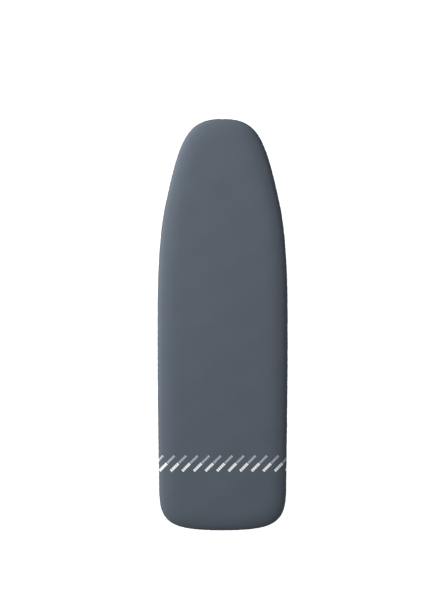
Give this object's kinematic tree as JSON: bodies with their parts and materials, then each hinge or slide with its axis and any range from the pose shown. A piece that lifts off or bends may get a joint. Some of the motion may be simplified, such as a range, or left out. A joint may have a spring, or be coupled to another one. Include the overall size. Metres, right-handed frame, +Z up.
{
  "type": "ironing board",
  "caption": "Folding ironing board with a padded, covered top that narrows to a rounded nose, crossed tubular legs, a sliding rod clamp with a release lever and a storage hook.",
  "frame": {"origin": "on the floor, under the middle of the top", "axes": "+Z up; +Y along the board to the rounded nose; +X across it, to the release lever's side"},
  "size_m": [0.38, 1.2, 0.9],
  "materials": {
    "cover_cloth": "woven cotton cover, dark blue grey",
    "hem_elastic": "braided elastic",
    "pad_felt": "felt and foam padding",
    "frame_paint": "silver grey powder coat",
    "leg_paint": "silver grey powder coat",
    "bright_steel": "zinc plated steel",
    "dark_plastic": "moulded plastic, charcoal",
    "nylon": "natural nylon"
  },
  "bodies": {
    "board": {"cover": "cover_cloth", "hem_elastic": "hem_elastic", "pad": "pad_felt", "top_panel": "frame_paint", "rim": "frame_paint", "tail_member": "frame_paint", "hinge_member": "frame_paint", "centre_member": "frame_paint", "nose_member": "frame_paint", "rail_left": "frame_paint", "rail_right": "frame_paint", "hinge_bracket_left": "frame_paint", "hinge_bracket_right": "frame_paint", "hinge_pin_left": "bright_steel", "hinge_pin_right": "bright_steel", "clamp_housing": "frame_paint", "lever_pivot_pin": "bright_steel", "hook_bracket": "frame_paint", "hook_pin": "bright_steel", "clamp_spring": "bright_steel"},
    "outer_leg": {"outer_leg_tube_left": "leg_paint", "outer_leg_tube_right": "leg_paint", "outer_top_plug_left": "dark_plastic", "outer_top_plug_right": "dark_plastic", "outer_foot_bar": "leg_paint", "outer_foot_cap_left": "dark_plastic", "outer_foot_cap_right": "dark_plastic", "cross_bolt_left": "bright_steel", "cross_bolt_right": "bright_steel", "cross_nut_left": "bright_steel", "cross_nut_right": "bright_steel", "cross_spacer_left": "nylon", "cross_spacer_right": "nylon"},
    "inner_leg": {"inner_leg_tube_left": "leg_paint", "inner_leg_tube_right": "leg_paint", "inner_top_plug_left": "dark_plastic", "inner_top_plug_right": "dark_plastic", "inner_foot_bar": "leg_paint", "inner_foot_cap_left": "dark_plastic", "inner_foot_cap_right": "dark_plastic", "inner_brace": "leg_paint", "crossbar": "leg_paint"},
    "carriage": {"slide_shoe_left": "nylon", "slide_shoe_right": "nylon", "rod_eye": "dark_plastic", "clamp_rod": "bright_steel", "rod_stop": "dark_plastic"},
    "clamp_plates": {"front_clamp_plate": "bright_steel", "rear_clamp_plate": "bright_steel"},
    "lever": {"release_lever": "bright_steel", "lever_grip": "dark_plastic"},
    "hook": {"storage_hook": "dark_plastic"}
  },
  "joints": [
    {"name": "leg_fold", "type": "hinge", "parent": "board", "child": "outer_leg", "pos_m": [0, -0.3, 0.846], "axis": [1, 0, 0], "range_deg": [0, 57.07]},
    {"name": "cross_pivot", "type": "hinge", "parent": "outer_leg", "child": "inner_leg", "pos_m": [0, -0.11245, 0.55643], "axis": [1, 0, 0], "range_deg": [-114.2, 0.1]},
    {"name": "carriage_pivot", "type": "hinge", "parent": "inner_leg", "child": "carriage", "pos_m": [0, 0.07509, 0.846], "axis": [1, 0, 0], "range_deg": [-0.1, 57.2]},
    {"name": "lever_pull", "type": "hinge", "parent": "board", "child": "lever", "pos_m": [-0.04, 0.03637, 0.866], "axis": [0, 0, -1], "range_deg": [0, 8], "stiffness_Nm_per_rad": 1.5, "springref_deg": -11.46},
    {"name": "plate_tilt", "type": "hinge", "parent": "board", "child": "clamp_plates", "pos_m": [0, 0.02209, 0.829], "axis": [1, 0, 0], "range_deg": [0, 8], "deforming": ["clamp_spring"]},
    {"name": "hook_swing", "type": "hinge", "parent": "board", "child": "hook", "pos_m": [0.035, -0.246, 0.866], "axis": [1, 0, 0], "range_deg": [0, 60]}
  ],
  "couplings": [
    {"joint": "cross_pivot", "follows": "leg_fold", "ratio": -2},
    {"joint": "carriage_pivot", "follows": "leg_fold", "ratio": 1},
    {"joint": "plate_tilt", "follows": "lever_pull", "ratio": 1}
  ]
}
